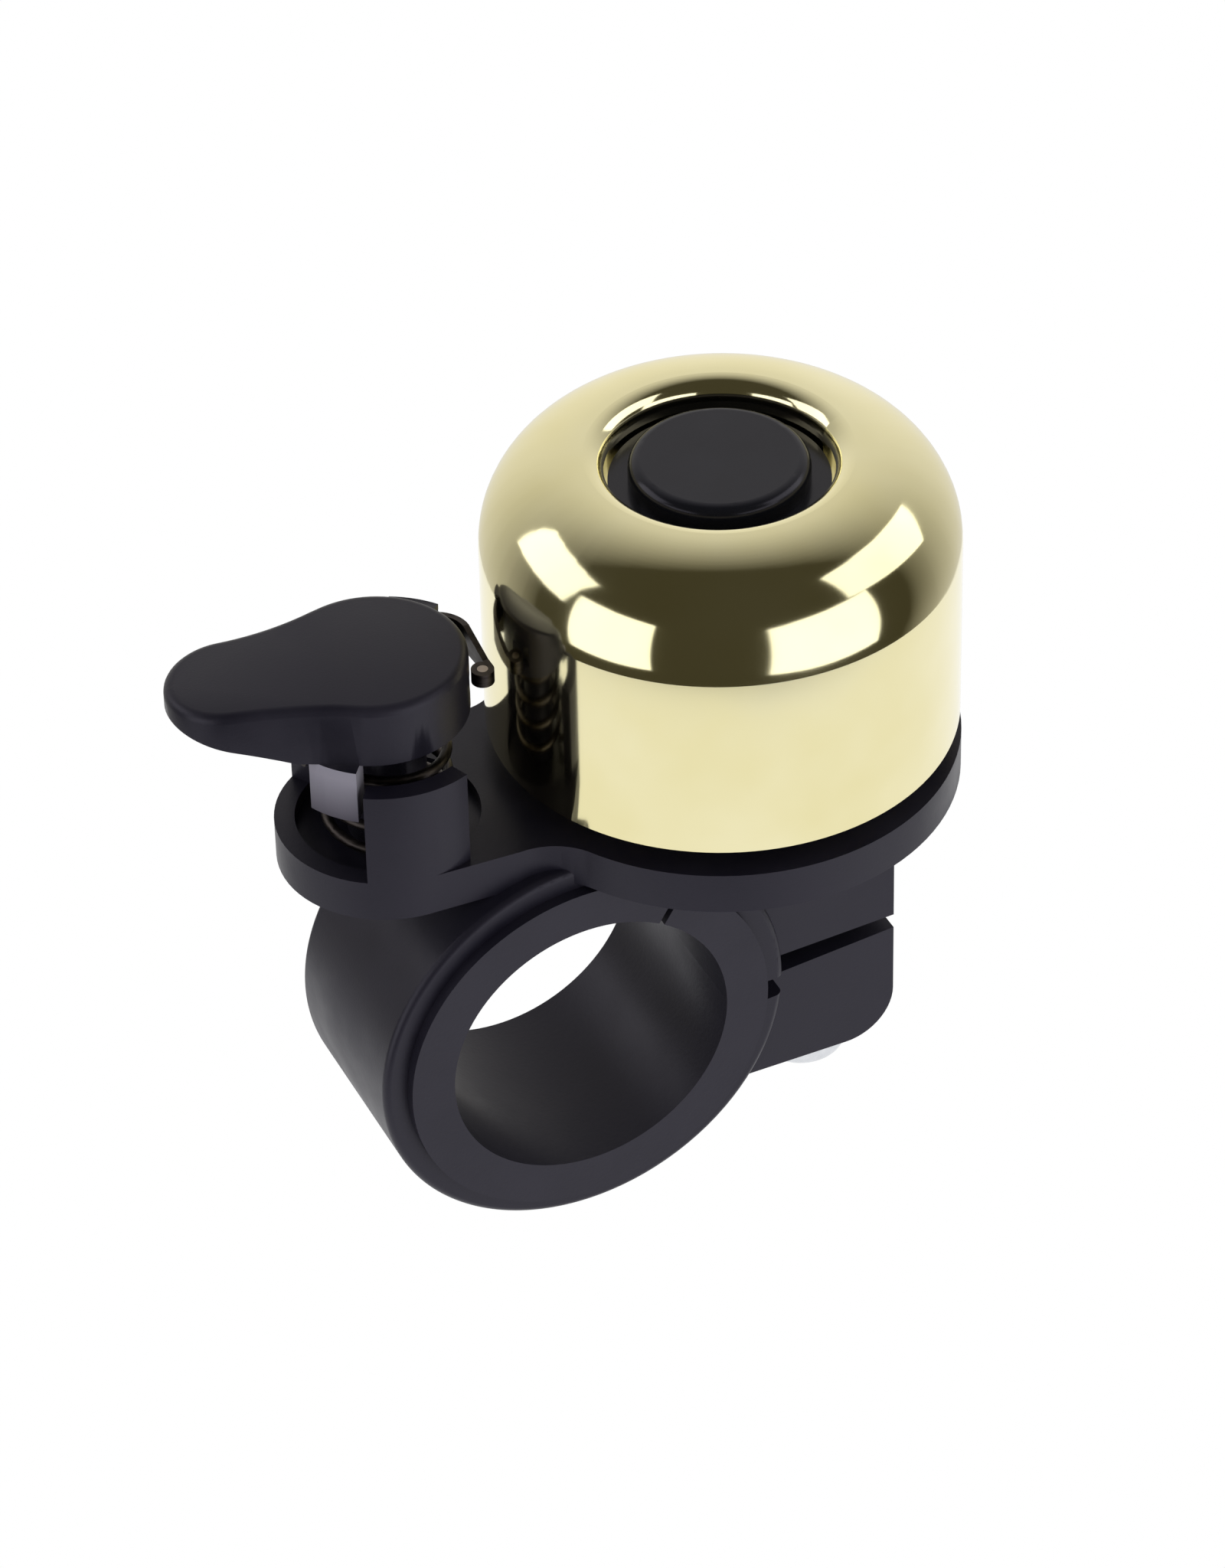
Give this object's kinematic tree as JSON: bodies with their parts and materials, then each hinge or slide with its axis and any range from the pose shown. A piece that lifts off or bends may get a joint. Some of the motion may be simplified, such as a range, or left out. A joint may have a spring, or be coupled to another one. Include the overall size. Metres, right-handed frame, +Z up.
{
  "type": "bicycle bell",
  "caption": "Handlebar bell: brass dome on a post, black clamp bracket with rubber liner, and a spring-returned thumb lever carrying a flexing hammer strip.",
  "frame": {"origin": "centre of the handlebar bore, at the middle of the clamp band's width", "axes": "+Y along the handlebar, +Z up through the bell, +X across the bar from the thumb lever to the bell"},
  "size_m": [0.059, 0.0352, 0.0595],
  "materials": {
    "bracket_plastic": "satin moulded",
    "liner_rubber": "smooth matt",
    "zinc_screw": "bright zinc",
    "dome_brass": "polished",
    "cap_plastic": "semi-gloss",
    "spring_steel": "dark oiled",
    "lever_plastic": "satin moulded",
    "pin_steel": "dull"
  },
  "bodies": {
    "base": {"bracket": "bracket_plastic", "bar_liner": "liner_rubber", "clamp_screw": "zinc_screw", "clamp_washer": "zinc_screw", "clamp_nut": "zinc_screw", "bell_post": "zinc_screw", "damping_washer": "liner_rubber", "bell_dome": "dome_brass", "seat_washer": "zinc_screw", "bell_screw": "zinc_screw", "bell_cap": "cap_plastic", "torsion_spring": "spring_steel"},
    "lever": {"lever": "lever_plastic", "pivot_washer": "zinc_screw", "pivot_screw": "zinc_screw"},
    "hammer": {"hammer_strip": "spring_steel", "hammer_pin": "pin_steel"}
  },
  "joints": [
    {"name": "lever_turn", "type": "hinge", "parent": "base", "child": "lever", "pos_m": [-0.0109, 0.0022, 0.028], "axis": [0, 0, -1], "range_deg": [0, 45], "stiffness_Nm_per_rad": 0.01, "springref_deg": -20.05, "deforming": ["torsion_spring"]},
    {"name": "hammer_flex", "type": "hinge", "parent": "lever", "child": "hammer", "pos_m": [-0.00576, 0.00757, 0.03], "axis": [0, 0, 1], "range_deg": [-3, 3], "stiffness_Nm_per_rad": 0.001}
  ]
}
